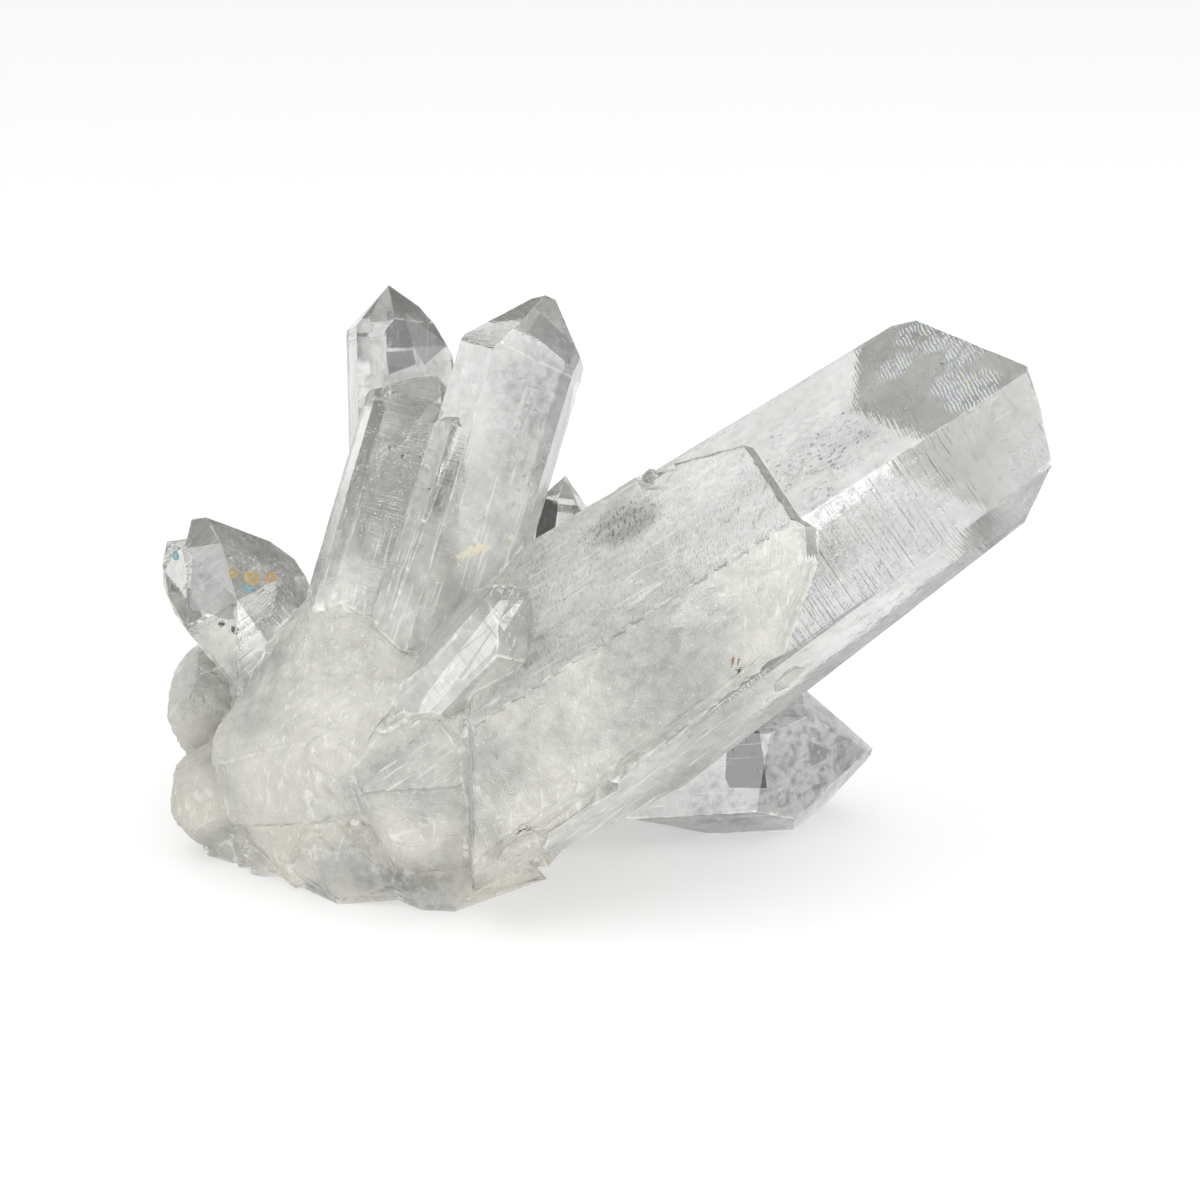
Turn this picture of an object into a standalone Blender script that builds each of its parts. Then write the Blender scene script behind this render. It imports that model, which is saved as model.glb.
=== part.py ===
"""A cluster of quartz crystals grown from one broken base, as one closed solid.

Lengths are in millimetres until a mesh is made. X runs to the right in the photograph, Y away from
the viewer and Z up from the ground that the cluster rests on.
"""

import math

import bmesh
import bpy
import numpy as np

MM = 0.001
BLOCK = 200.0
RHOMB_TILT = 51.8
GROUND_DEPTH = 60.0
# Shapes are placed from the middle of the photograph. This moves the origin to the middle of the foot.
CENTRE = np.array([-3.794, -3.26, 0.0])

# The main crystal and the growth that lies along its front share their axis and their faces.
MAIN_ROOT = (-15.7, -15.7, 23.3)
MAIN_TIP = (59.3, -17.4, 79.6)
MAIN_ROLL = -75.0
MAIN_TAPER = 3.3
MAIN_WIDTHS = (10.8, 19.4, 20.9, 10.7, 20.0, 20.4)
GROWTH_RISE = (2.2, 2.9)


def unit(vector):
    vector = np.asarray(vector, float)
    return vector / np.linalg.norm(vector)


def across(axis):
    """Two directions square to the axis: the one that faces the viewer, and the one beside it."""
    front = np.array([0.0, -1.0, 0.0])
    front = unit(front - axis * (axis @ front))
    return front, np.cross(axis, front)


def block():
    """A cube much larger than the cluster, to be cut down to a crystal or a stone."""
    mesh = bmesh.new()
    bmesh.ops.create_cube(mesh, size=BLOCK)
    return mesh


def cut(mesh, point, normal):
    """Takes away what lies outside the plane, and closes the mesh again."""
    geometry = mesh.verts[:] + mesh.edges[:] + mesh.faces[:]
    made = bmesh.ops.bisect_plane(
        mesh,
        geom=geometry,
        dist=1e-5,
        plane_co=tuple(float(c) for c in point),
        plane_no=tuple(float(c) for c in normal),
        clear_outer=True,
    )
    edges = [item for item in made["geom_cut"] if isinstance(item, bmesh.types.BMEdge)]
    if edges:
        bmesh.ops.holes_fill(mesh, edges=edges)


def finish(name, mesh, collection):
    """Makes an object of the mesh, in metres and with its faces turned out."""
    bmesh.ops.remove_doubles(mesh, verts=mesh.verts[:], dist=0.02)
    bmesh.ops.recalc_face_normals(mesh, faces=mesh.faces[:])
    for vertex in mesh.verts:
        vertex.co = [(c - o) * MM for c, o in zip(vertex.co, CENTRE)]
    data = bpy.data.meshes.new(name)
    mesh.to_mesh(data)
    mesh.free()
    made = bpy.data.objects.new(name, data)
    collection.objects.link(made)
    return made


def prism_planes(root, tip, roll, widths, taper):
    """The six long faces: widths are their distances from the axis at the tip."""
    axis = unit(np.subtract(tip, root))
    front, side = across(axis)
    lean = math.radians(taper)
    planes = []
    for k, width in enumerate(widths):
        turn = math.radians(roll + 60.0 * k)
        out = math.cos(turn) * front + math.sin(turn) * side
        planes.append((np.add(tip, out * width), math.cos(lean) * out + math.sin(lean) * axis))
    return planes


def end_planes(root, tip, roll, drops, tilts, turns):
    """The sloping faces of the point. A drop is how far below the tip a face meets the axis."""
    axis = unit(np.subtract(tip, root))
    front, side = across(axis)
    planes = []
    for k, drop in enumerate(drops):
        if drop is None:
            continue
        tilt = math.radians(tilts.get(k, RHOMB_TILT))
        turn = math.radians(roll + 60.0 * k + turns.get(k, 0.0))
        out = math.cos(turn) * front + math.sin(turn) * side
        planes.append((np.subtract(tip, axis * drop), math.cos(tilt) * axis + math.sin(tilt) * out))
    return planes


def edge_plane(first, second, surface, lean, inside):
    """The plane through two points of a surface that leans off it by an angle, away from inside."""
    along = unit(np.subtract(second, first))
    surface = unit(surface)
    out = unit(np.cross(along, surface))
    if out @ np.subtract(inside, first) > 0:
        out = -out
    lean = math.radians(lean)
    return first, math.cos(lean) * surface + math.sin(lean) * out


def crystal(name, collection, root, tip, roll, widths, drops, taper=0.0, tilts=None, turns=None, cuts=()):
    """A six-sided crystal from its root to its point, with the extra cuts given."""
    mesh = block()
    planes = prism_planes(root, tip, roll, widths, taper)
    planes += end_planes(root, tip, roll, drops, tilts or {}, turns or {})
    planes += list(cuts)
    planes.append((root, -unit(np.subtract(tip, root))))
    for point, normal in planes:
        cut(mesh, point, normal)
    return finish(name, mesh, collection)


def stone(name, collection, centre, radii, seed, sides=16):
    """A broken lump: a block cut by planes that touch an ellipsoid, spread evenly and then shaken."""
    random = np.random.default_rng(seed)
    mesh = block()
    for k in range(sides):
        height = 1.0 - 2.0 * (k + 0.5) / sides
        turn = k * 2.39996 + seed
        ring = math.sqrt(1.0 - height * height)
        normal = np.array([ring * math.cos(turn), ring * math.sin(turn), height])
        normal = unit(normal + random.normal(0.0, 0.22, 3))
        reach = np.linalg.norm(normal * radii) * random.uniform(0.84, 1.04)
        cut(mesh, np.add(centre, normal * reach), normal)
    return finish(name, mesh, collection)


def hull(name, collection, corners):
    """The smallest convex body that holds all the corners."""
    mesh = bmesh.new()
    for corner in corners:
        mesh.verts.new(corner)
    bmesh.ops.convex_hull(mesh, input=mesh.verts[:])
    bmesh.ops.delete(mesh, geom=[v for v in mesh.verts if not v.link_faces], context="VERTS")
    return finish(name, mesh, collection)


def main_crystal(made):
    """The long crystal on the right, with the growth along its front."""
    crystal(
        "main",
        made,
        MAIN_ROOT,
        MAIN_TIP,
        MAIN_ROLL,
        MAIN_WIDTHS,
        (None, None, None, None, 2.3, None),
        taper=MAIN_TAPER,
        tilts={4: 40.0},
        turns={4: -32.0},
        cuts=(
            ((49.1, -4.9, 90.5), (0.12, 0.62, 0.77)),
            ((64.2, -34.5, 90.4), (0.75, -0.45, 0.48)),
            ((66.0, -32.5, 65.4), (0.78, -0.25, -0.58)),
            ((6.8, -30.0, 17.4), (0.42, 0.0, -0.91)),
        ),
    )
    faces = prism_planes(MAIN_ROOT, MAIN_TIP, MAIN_ROLL, MAIN_WIDTHS, MAIN_TAPER)
    raised = [(np.add(p, n * rise), n) for (p, n), rise in zip(faces, GROWTH_RISE)]
    upper, lower = faces[0][1], faces[1][1]
    middle = (12.0, -25.0, 50.0)
    ridge_end = (30.0, -41.2, 67.7)
    upper_end = (23.3, -13.2, 72.3)
    bulge = (30.8, -41.2, 59.2)
    lower_end = (27.1, -43.2, 48.9)
    lower_root = (9.6, -45.3, 30.7)
    upper_root = (8.3, -3.9, 65.3)
    growth = block()
    kept_inside = [(np.subtract(p, n * 0.8), n) for p, n in faces[2:]]
    planes = raised + kept_inside + [
        edge_plane(upper_end, ridge_end, upper, 62.0, middle),
        edge_plane(ridge_end, bulge, lower, 62.0, middle),
        edge_plane(bulge, lower_end, lower, 62.0, middle),
        edge_plane(lower_end, lower_root, lower, 62.0, middle),
        edge_plane(upper_end, upper_root, upper, 62.0, middle),
        ((-20.8, -40.0, 26.0), (-1.0, 0.0, 0.0)),
        ((6.8, -30.0, 17.8), (0.42, 0.0, -0.91)),
    ]
    for point, normal in planes:
        cut(growth, point, normal)
    finish("growth", growth, made)


def upright_crystals(made):
    """The group that stands on the left and in the middle."""
    crystal(
        "back_left",
        made,
        (-38.3, 8.5, 14.0),
        (-37.6, 35.5, 87.0),
        -13.4,
        (8.0, 5.8, 12.8, 8.0, 7.2, 6.8),
        (-1.0, -0.9, -4.0, 0.0, -0.4, -0.3),
        taper=-1.7,
        tilts={5: 50.0},
    )
    crystal(
        "back_right",
        made,
        (-26.7, -12.0, 23.0),
        (-5.7, 21.6, 88.8),
        -41.5,
        (15.1, 7.8, 5.7, 8.8, 10.0, 13.9),
        (-1.2, 3.2, 3.3, 0.7, -0.6, -4.8),
        taper=-0.4,
        tilts={0: 46.0, 1: 56.0},
        turns={1: 3.0},
    )
    crystal(
        "front_left",
        made,
        (-47.0, -11.0, 22.5),
        (-30.3, 11.3, 77.9),
        -8.0,
        (3.5, 8.9, 8.0, 6.0, 6.9, 6.8),
        (0.0, -3.5, -4.5, 0.0, 1.0, 0.6),
        tilts={4: 36.0, 5: 34.0},
        taper=0.6,
    )
    crystal(
        "thin",
        made,
        (-37.4, -13.6, 30.0),
        (-22.1, 4.7, 74.3),
        10.0,
        (3.5, 3.2, 4.0, 4.0, 4.0, 3.5),
        (0.0, 0.0, 0.0, 0.0, 0.0, 0.0),
    )
    crystal(
        "small_back",
        made,
        (-12.0, 25.0, 12.0),
        (-6.2, 33.0, 53.0),
        -44.0,
        (3.9, 4.3, 6.5, 5.4, 5.4, 4.7),
        (-0.6, -0.7, 0.0, 0.0, 0.0, 0.0),
    )


def low_crystals(made):
    """The ones that point at the viewer, to the left and along the ground."""
    crystal(
        "front",
        made,
        (-37.0, -19.5, 22.0),
        (-11.0, -33.8, 55.3),
        -90.2,
        (4.6, 5.1, 7.3, 7.0, 7.0, 14.0),
        (-2.7, -3.9, 0.0, 0.0, 0.0, 0.7),
        taper=-1.1,
        tilts={1: 60.0},
        turns={1: 6.0},
    )
    crystal(
        "along_ground",
        made,
        (-12.0, -2.8, 7.0),
        (47.0, -0.4, 9.4),
        -14.1,
        (10.8, 8.9, 11.3, 11.0, 13.5, 13.5),
        (0.8, 3.7, -2.0, -6.0, -6.0, -3.7),
        tilts={0: 61.0, 1: 49.0, 5: 48.0},
        turns={0: 7.0},
        cuts=(((17.5, 0.0, 0.6), (-0.42, 0.0, -0.91)),),
    )
    hull(
        "left",
        made,
        [
            (-67.0, 4.8, 54.3),
            (-69.7, 5.7, 53.6),
            (-63.8, -0.5, 51.4),
            (-70.2, 0.1, 50.1),
            (-60.5, -7.5, 43.7),
            (-52.7, -1.3, 46.1),
            (-50.2, 3.4, 44.0),
            (-52.4, 6.2, 46.2),
            (-56.6, 7.5, 49.0),
            (-69.0, -7.0, 38.3),
            (-60.8, -11.6, 26.7),
            (-46.0, -12.0, 24.0),
            (-45.0, 4.6, 28.1),
            (-60.0, 12.0, 26.0),
            (-69.0, 9.0, 40.0),
        ],
    )
    hull(
        "far_left",
        made,
        [
            (-73.6, 3.4, 50.4),
            (-74.3, 1.1, 47.1),
            (-74.2, 0.6, 43.2),
            (-72.6, -0.7, 39.1),
            (-69.5, -3.5, 36.0),
            (-70.4, -0.8, 50.6),
            (-70.0, 6.5, 50.0),
            (-73.0, 8.0, 44.0),
            (-62.0, -4.0, 26.0),
            (-60.0, 8.0, 30.0),
            (-62.0, -2.0, 44.0),
        ],
    )


def hidden_crystals(made):
    """The side that the photograph doesn't show carries a few points of its own."""
    crystal(
        "back_upper",
        made,
        (-34.0, 4.0, 16.0),
        (-37.5, 40.0, 49.0),
        12.0,
        (5.2, 4.6, 5.4, 5.0, 4.4, 5.6),
        (0.0, 1.4, 0.0, 1.0, 0.0, 1.8),
    )
    crystal(
        "back_low",
        made,
        (-22.0, 2.0, 12.0),
        (4.0, 37.0, 24.0),
        5.0,
        (5.6, 6.4, 5.2, 5.8, 6.0, 5.0),
        (0.0, 1.0, 0.0, 2.2, 0.0, 1.5),
    )
    crystal(
        "back_side",
        made,
        (-45.0, 2.0, 14.0),
        (-60.5, 31.0, 22.0),
        -20.0,
        (5.0, 5.6, 4.6, 5.4, 5.0, 5.8),
        (0.0, 1.2, 0.0, 0.8, 0.0, 2.0),
    )


BASE_STONES = (
    # centre, radii, seed
    ((-60.5, -10.6, 10.0), (14.3, 9.5, 10.0), 1),
    ((-65.6, 4.0, 21.5), (9.0, 10.0, 12.0), 2),
    ((-45.2, -15.5, 12.0), (16.0, 13.0, 14.0), 3),
    ((-27.0, -18.0, 9.0), (16.0, 16.0, 13.0), 4),
    ((-10.0, -11.0, 14.5), (12.0, 12.0, 11.0), 5),
    ((-35.0, -3.0, 20.0), (27.0, 16.0, 19.0), 6),
    ((-42.0, 10.0, 10.0), (24.0, 17.0, 14.0), 7),
    ((-17.0, 10.0, 9.0), (19.0, 17.0, 12.0), 8),
    ((-48.0, -2.0, 27.0), (10.0, 9.0, 13.0), 9),
    ((-23.0, -8.0, 24.0), (13.0, 13.0, 14.0), 10),
    ((-60.0, 12.0, 12.0), (12.0, 12.0, 12.0), 11),
    ((-38.0, -20.5, 3.0), (17.0, 11.5, 8.0), 13),
    ((-26.0, -22.0, 3.0), (13.0, 14.2, 8.5), 14),
    ((-12.5, -14.0, 5.0), (6.0, 8.0, 8.0), 15),
    ((-22.0, -23.0, 29.0), (5.5, 6.0, 5.0), 16),
)
# The milky mass that the upright crystals rise from, and the one under the crystal at the front.
ROOT_MASS = (
    (-49.6, -3.0, 44.0),
    (-43.0, -7.0, 43.0),
    (-60.0, -14.0, 27.5),
    (-65.8, -18.0, 22.5),
    (-63.0, -24.0, 21.0),
    (-48.3, -30.0, 27.7),
    (-36.9, -31.0, 28.0),
    (-32.5, -26.0, 34.0),
    (-29.5, -21.0, 37.0),
    (-30.0, -14.0, 39.0),
    (-39.3, -34.5, 15.4),
    (-48.4, -33.0, 13.5),
    (-62.0, -24.0, 9.0),
    (-50.0, 8.0, 12.0),
    (-25.0, 5.0, 20.0),
    (-48.0, 6.0, 33.0),
)
MIDDLE_MASS = (
    (-39.5, -29.0, 26.5),
    (-31.0, -31.0, 32.5),
    (-26.2, -33.0, 33.9),
    (-20.5, -37.6, 28.8),
    (-16.0, -33.0, 31.5),
    (-20.4, -39.5, 24.1),
    (-20.8, -41.0, 15.9),
    (-32.3, -38.5, 13.2),
    (-39.8, -34.5, 20.7),
    (-33.0, -36.0, 6.0),
    (-21.0, -38.0, 8.0),
    (-30.0, -12.0, 28.0),
    (-18.0, -15.0, 22.0),
    (-38.0, -12.0, 10.0),
)
# Where the small broken pieces sit: the rim of the base, from its left end round the front.
RIM_CENTRE = (-34.0, -1.0)
RIM_RADII = (37.0, 27.0)
RIM_SIDE = (
    # first and last angle in degrees, height, count, reach
    (165.0, 308.0, 3.5, 16, 0.955),
    (160.0, 300.0, 12.0, 12, 0.93),
    (175.0, 300.0, 22.0, 9, 0.74),
    (20.0, 150.0, 5.0, 10, 0.93),
    (30.0, 140.0, 15.0, 7, 0.8),
)
CHIPS = (
    # centre, radii, seed
    ((7.4, -7.2, 66.6), (4.6, 3.6, 3.2), 31),
    ((-37.6, 5.2, 77.4), (4.0, 2.6, 2.4), 32),
    ((-46.0, -35.5, 16.0), (4.5, 2.6, 4.0), 33),
    ((-31.0, -41.0, 16.0), (5.0, 2.6, 3.6), 34),
    ((-69.0, -22.5, 15.0), (3.5, 4.0, 4.5), 35),
    ((-11.6, -44.0, 14.6), (4.2, 2.2, 2.6), 36),
    ((2.4, -45.0, 24.4), (5.0, 2.3, 3.6), 38),
    ((30.0, -37.5, 40.5), (3.2, 2.2, 2.2), 37),
)


def base(made):
    """The broken mass that the crystals grew from, with small pieces round its rim."""
    for k, (centre, radii, seed) in enumerate(BASE_STONES):
        stone(f"stone_{k}", made, centre, radii, seed, sides=18)
    hull("root_mass", made, ROOT_MASS)
    hull("middle_mass", made, MIDDLE_MASS)
    random = np.random.default_rng(40)
    for row, (first, last, height, count, reach) in enumerate(RIM_SIDE):
        for k in range(count):
            angle = math.radians(first + (last - first) * (k + random.uniform(0.1, 0.9)) / count)
            near = reach * random.uniform(0.93, 1.0)
            centre = (
                RIM_CENTRE[0] + RIM_RADII[0] * near * math.cos(angle),
                RIM_CENTRE[1] + RIM_RADII[1] * near * math.sin(angle),
                height + random.uniform(-2.0, 2.0),
            )
            radii = random.uniform(2.6, 5.4, 3)
            stone(f"rim_{row}_{k}", made, centre, radii, 50 + 20 * row + k, sides=12)


def clear():
    for old in list(bpy.data.objects):
        bpy.data.objects.remove(old, do_unlink=True)


def quartz():
    material = bpy.data.materials.new("quartz")
    material.use_nodes = True
    shader = material.node_tree.nodes["Principled BSDF"]
    shader.inputs["Base Color"].default_value = (0.93, 0.93, 0.91, 1.0)
    shader.inputs["Roughness"].default_value = 0.08
    shader.inputs["IOR"].default_value = 1.544
    shader.inputs["Transmission Weight"].default_value = 0.9
    return material


def ground_block(made):
    """What lies below the flat that the cluster rests on."""
    mesh = bmesh.new()
    bmesh.ops.create_cube(mesh, size=1.0)
    for vertex in mesh.verts:
        vertex.co.x *= BLOCK
        vertex.co.y *= BLOCK
        vertex.co.z = (vertex.co.z - 0.5) * GROUND_DEPTH
    return finish("ground", mesh, made)


def boolean(target, name, operation, others):
    made = target.modifiers.new(name, "BOOLEAN")
    made.operation = operation
    made.solver = "EXACT"
    made.operand_type = "COLLECTION"
    made.collection = others


def helper_collection(name):
    made = bpy.data.collections.new(name)
    bpy.context.scene.collection.children.link(made)
    return made


def main():
    clear()
    pieces = helper_collection("pieces")
    tools = helper_collection("tools")
    main_crystal(pieces)
    upright_crystals(pieces)
    low_crystals(pieces)
    hidden_crystals(pieces)
    base(pieces)
    ground = ground_block(tools)
    chips = helper_collection("chips")
    for k, (centre, radii, seed) in enumerate(CHIPS):
        stone(f"chip_{k}", chips, centre, radii, seed, sides=14)
    shown = bpy.context.scene.collection
    cluster = stone("quartz_cluster", shown, (-30.0, -2.0, 16.0), (24.0, 16.0, 15.0), 12, sides=18)
    cluster.data.materials.append(quartz())
    for helper in list(pieces.objects) + list(chips.objects) + [ground]:
        helper.hide_render = True
        helper.display_type = "WIRE"
    boolean(cluster, "join", "UNION", pieces)
    boolean(cluster, "chip", "DIFFERENCE", chips)
    boolean(cluster, "flat", "DIFFERENCE", tools)


main()
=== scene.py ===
"""A cluster of quartz crystals: clear points on milky roots, resting on a pale studio floor.

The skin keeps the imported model's facets and adds their fine relief: worn edges, etched and striated
faces, a broken base. Inside it lie sheets of small flakes, as in the real stone. Lengths are in
millimetres until a mesh is made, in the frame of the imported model.
"""

import math

import bmesh
import bpy
import numpy as np
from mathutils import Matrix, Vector, noise
from mathutils.bvhtree import BVHTree


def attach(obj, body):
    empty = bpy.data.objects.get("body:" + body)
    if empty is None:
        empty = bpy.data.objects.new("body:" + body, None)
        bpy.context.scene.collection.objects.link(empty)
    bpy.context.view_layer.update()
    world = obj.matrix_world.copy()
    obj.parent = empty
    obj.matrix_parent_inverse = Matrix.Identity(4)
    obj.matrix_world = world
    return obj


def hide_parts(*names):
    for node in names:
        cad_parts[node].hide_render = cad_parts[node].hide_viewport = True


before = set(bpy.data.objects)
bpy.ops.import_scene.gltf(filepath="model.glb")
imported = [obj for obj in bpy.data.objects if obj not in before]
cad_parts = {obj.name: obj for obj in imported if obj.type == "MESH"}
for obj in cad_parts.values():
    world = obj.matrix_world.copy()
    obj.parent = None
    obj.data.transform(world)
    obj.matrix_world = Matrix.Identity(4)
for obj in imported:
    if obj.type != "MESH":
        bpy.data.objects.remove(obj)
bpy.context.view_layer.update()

MM = 0.001
NODE = "quartz_cluster"
# The longest edges of the skin's triangles on the crystals, the broken base and the etched face.
LONGEST_EDGE, BASE_EDGE, ETCHED_EDGE = 1.5, 1.35, 0.85
# An edge isn't halved where its triangles are slivers: their area as a share of the squared length.
SMALLEST_SHARE = 0.12
SPLIT_ROUNDS = 12
SOFTEN_ROUNDS = 9
# Edges that bend more than this are shaded sharp.
CREASE_DEGREES = 14.0
# Triangles whose normals' dot product is above this lie in one facet.
FLAT = 0.99996
IOR = 1.544

# Places are given from the middle of the photograph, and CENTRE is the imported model's origin there.
CENTRE = np.array([-3.794, -3.26, 0.0])
# The crystals: root, tip, half width, and how far up from the root, 0 to 1, the milk reaches.
CRYSTALS = {
    "main": ((-15.7, -15.7, 23.3), (59.3, -17.4, 79.6), 20.0, 0.40),
    "back_left": ((-38.3, 8.5, 14.0), (-37.6, 35.5, 87.0), 8.5, 0.66),
    "back_right": ((-26.7, -12.0, 23.0), (-5.7, 21.6, 88.8), 11.5, 0.52),
    "front_left": ((-47.0, -11.0, 22.5), (-30.3, 11.3, 77.9), 7.5, 0.58),
    "thin": ((-37.4, -13.6, 30.0), (-22.1, 4.7, 74.3), 4.0, 0.60),
    "small_back": ((-12.0, 25.0, 12.0), (-6.2, 33.0, 53.0), 5.2, 0.45),
    "front": ((-37.0, -19.5, 22.0), (-11.0, -33.8, 55.3), 8.0, 0.95),
    "along_ground": ((-12.0, -2.8, 7.0), (47.0, -0.4, 9.4), 11.5, 0.30),
    "left": ((-44.0, -1.5, 26.0), (-67.0, 4.8, 54.3), 10.0, 0.45),
    "far_left": ((-61.0, 1.5, 30.0), (-73.8, 3.4, 50.4), 5.5, 0.40),
    "back_upper": ((-34.0, 4.0, 16.0), (-37.5, 40.0, 49.0), 5.2, 0.55),
    "back_low": ((-22.0, 2.0, 12.0), (4.0, 37.0, 24.0), 5.8, 0.55),
    "back_side": ((-45.0, 2.0, 14.0), (-60.5, 31.0, 22.0), 5.3, 0.55),
}
BASE_BEYOND = 1.22
BASE_ROOT, BASE_TIP = (-36.0, -5.0, 0.0), (-36.0, -5.0, 40.0)

# The etched face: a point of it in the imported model's frame, and the way it faces.
ETCHED_POINT, ETCHED_NORMAL = (11.7, -19.9, 59.6), (-0.536, -0.259, 0.803)
# Outlines of the windows, where a facet looks through the stone at something dark: a painted dark
# reflection on the facet, and how dark it is. Below 0 it is a pale painted highlight instead.
TO_CAMERA = (0.0, -0.94, 0.34)
PAINTED_REFLECTIONS = (
    (((-66.6, 2.4, 50.4), (-59.7, 3.0, 51.3), (-56.6, -3.8, 44.1), (-57.0, -5.3, 40.5),
      (-65.0, -2.4, 41.5)), 0.55),
    (((-63.1, 7.7, 54.0), (-59.6, 3.1, 51.3), (-56.5, -3.9, 43.9), (-49.2, 1.9, 46.2)), -0.25),
    (((-6.9, 30.0, 51.5), (-3.6, 30.7, 48.9), (-4.8, 31.0, 41.0), (-10.0, 30.0, 38.0)), 0.92),
    (((-33.5, 32.7, 84.2), (-30.9, 34.6, 83.9), (-29.1, 32.3, 77.8), (-33.3, 27.9, 78.7)), 0.82),
    (((-33.5, 27.5, 78.1), (-29.1, 32.1, 77.3), (-28.6, 31.9, 74.8), (-33.2, 26.7, 74.2)), 0.76),
    (((-30.5, 34.4, 83.6), (-23.4, 35.6, 77.6), (-27.2, 33.3, 74.3), (-28.8, 32.6, 77.7)), 0.62),
    (((-6.4, 20.2, 86.8), (-0.6, 19.1, 81.7), (-1.3, 14.4, 79.2), (-8.2, 15.1, 84.9)), 0.74),
    (((0.2, 16.7, 79.5), (-1.0, 18.8, 71.9), (-4.6, 15.4, 58.9), (-0.6, 15.5, 76.3)), 0.70),
    (((-25.7, 9.7, 74.9), (-20.6, 4.8, 72.6), (-26.9, 7.9, 71.1), (-28.9, 6.7, 68.3)), 0.50),
    (((25.5, -7.0, 21.0), (30.8, -5.1, 20.6), (32.2, -7.7, 11.0), (25.8, -8.5, 11.4),
      (25.0, -8.1, 13.0)), 1.0),
    (((39.2, -2.5, 17.6), (43.0, -0.5, 15.1), (42.9, -0.9, 13.5), (40.2, -2.6, 12.8)), 0.80),
    (((10.0, -10.0, 7.6), (28.1, -9.3, 8.2), (36.5, -6.0, 2.0), (18.0, -9.0, 2.0)), 0.55),
    (((-11.7, -32.5, 54.0), (-8.0, -31.1, 53.5), (-13.3, -33.8, 45.5), (-27.0, -29.4, 30.5),
      (-24.0, -27.0, 36.0)), -0.50),
)
# Darker parts of the long crystal and of others, partly clouds in the stone and partly painted shade
# # under other crystals and on the underside, where the stone looks through to darker surroundings:
# # centre, radii and how dark.
DARK_CLOUDS_AND_PAINTED_SHADE = (
    ((58.0, -27.0, 84.0), (9.0, 9.0, 7.0), 0.20),
    ((68.0, -27.0, 76.0), (8.0, 12.0, 13.0), 0.60),
    ((50.0, -34.0, 73.0), (6.0, 5.0, 6.0), 0.40),
    ((40.0, -14.0, 78.0), (24.0, 12.0, 12.0), 0.20),
    ((10.0, -39.0, 46.0), (8.0, 6.0, 6.0), 0.45),
    ((7.0, -11.0, 60.5), (8.5, 6.0, 5.0), 0.55),
    ((-11.0, -42.0, 15.5), (4.0, 4.0, 3.0), 0.55),
    ((5.5, -39.0, 25.5), (4.5, 3.0, 3.2), 0.45),
    ((-2.4, 32.0, 50.0), (7.0, 8.0, 10.0), 0.30),
    ((34.0, -4.0, 13.0), (28.0, 15.0, 15.0), 0.80),
    ((-32.0, 30.0, 72.0), (10.0, 9.0, 16.0), 0.50),
    ((-8.0, 12.0, 73.0), (11.0, 12.0, 15.0), 0.60),
    ((-2.0, 20.0, 82.0), (9.0, 9.0, 9.0), 0.50),
    ((-34.0, -40.0, 5.0), (32.0, 14.0, 7.0), 0.80),
)
# Stains and small dark cracks that show at the surface: centre, radii and tint.
STRAW, RUST, BLACK = (0.80, 0.76, 0.56), (0.26, 0.15, 0.09), (0.06, 0.06, 0.06)
STAINS = (
    ((-16.1, -3.7, 52.7), (3.4, 2.0, 0.9), STRAW),
    ((-19.0, -4.8, 51.9), (2.6, 2.0, 0.7), STRAW),
    ((-11.0, -2.0, 53.6), (2.0, 2.0, 0.8), STRAW),
    ((24.4, -40.2, 46.6), (0.9, 1.2, 0.8), RUST),
    ((27.0, -38.6, 42.4), (0.8, 1.2, 0.8), RUST),
    ((25.0, -40.0, 45.2), (0.7, 1.2, 0.8), BLACK),
    ((30.5, -38.5, 44.0), (1.1, 1.2, 0.5), BLACK),
    ((35.5, -37.5, 47.5), (1.2, 1.2, 0.4), BLACK),
    ((17.0, -38.0, 33.5), (2.2, 1.4, 0.4), BLACK),
    ((-57.6, -5.6, 38.8), (1.6, 1.4, 0.8), BLACK),
    ((-59.6, -5.0, 39.4), (1.0, 1.4, 0.5), BLACK),
    ((-7.4, -42.5, 18.6), (1.8, 1.6, 0.6), BLACK),
)
# How many veils of flakes cross each crystal.
SHEETS = {
    "main": 16, "back_left": 5, "back_right": 7, "front_left": 4, "thin": 1, "small_back": 2, "front": 3,
    "along_ground": 7, "left": 6, "far_left": 2, "back_upper": 2, "back_low": 2, "back_side": 2,
}
# A flake stays this share of its length, and a little more, away from the skin.
FLAKE_MARGIN = 0.18
# The stone's own colours.
CLEAR, MILKY, WARM = (0.91, 0.915, 0.90, 1.0), (0.665, 0.665, 0.625, 1.0), (0.63, 0.605, 0.53, 1.0)
DARK, WHITE = (0.06, 0.06, 0.06, 1.0), (0.94, 0.94, 0.91, 1.0)
GOLD, AMBER, CYAN = (1.0, 0.70, 0.16), (0.98, 0.58, 0.10), (0.35, 0.85, 0.95)
LEFT_FACE = (0.29, -0.64, 0.71)
# Painted glints: spots of coloured light painted on flakes just under a face: where, the way the face
# # looks, the tint and the size.
PAINTED_GLINTS = (
    ((-57.7, -0.6, 47.4), LEFT_FACE, GOLD, 1.9),
    ((-54.6, -0.3, 46.4), LEFT_FACE, GOLD, 2.7),
    ((-51.6, 0.7, 46.2), LEFT_FACE, AMBER, 2.0),
    ((-55.0, -1.9, 45.1), LEFT_FACE, CYAN, 1.7),
    ((-68.1, 3.2, 48.9), (-0.52, -0.84, 0.12), CYAN, 1.6),
)
# Patches of painted iridescence, fine coloured lines of light near the long crystal's tip: the middle and the
# radius.
PAINTED_RAINBOWS = (
    ((50.5, -11.0, 85.4), 3.6), ((53.5, -5.6, 89.3), 3.4), ((57.3, -10.5, 90.2), 4.4),
    ((60.6, -18.0, 90.0), 4.6), ((60.2, -28.5, 86.4), 5.2), ((57.0, -24.0, 86.4), 3.6),
)
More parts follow.
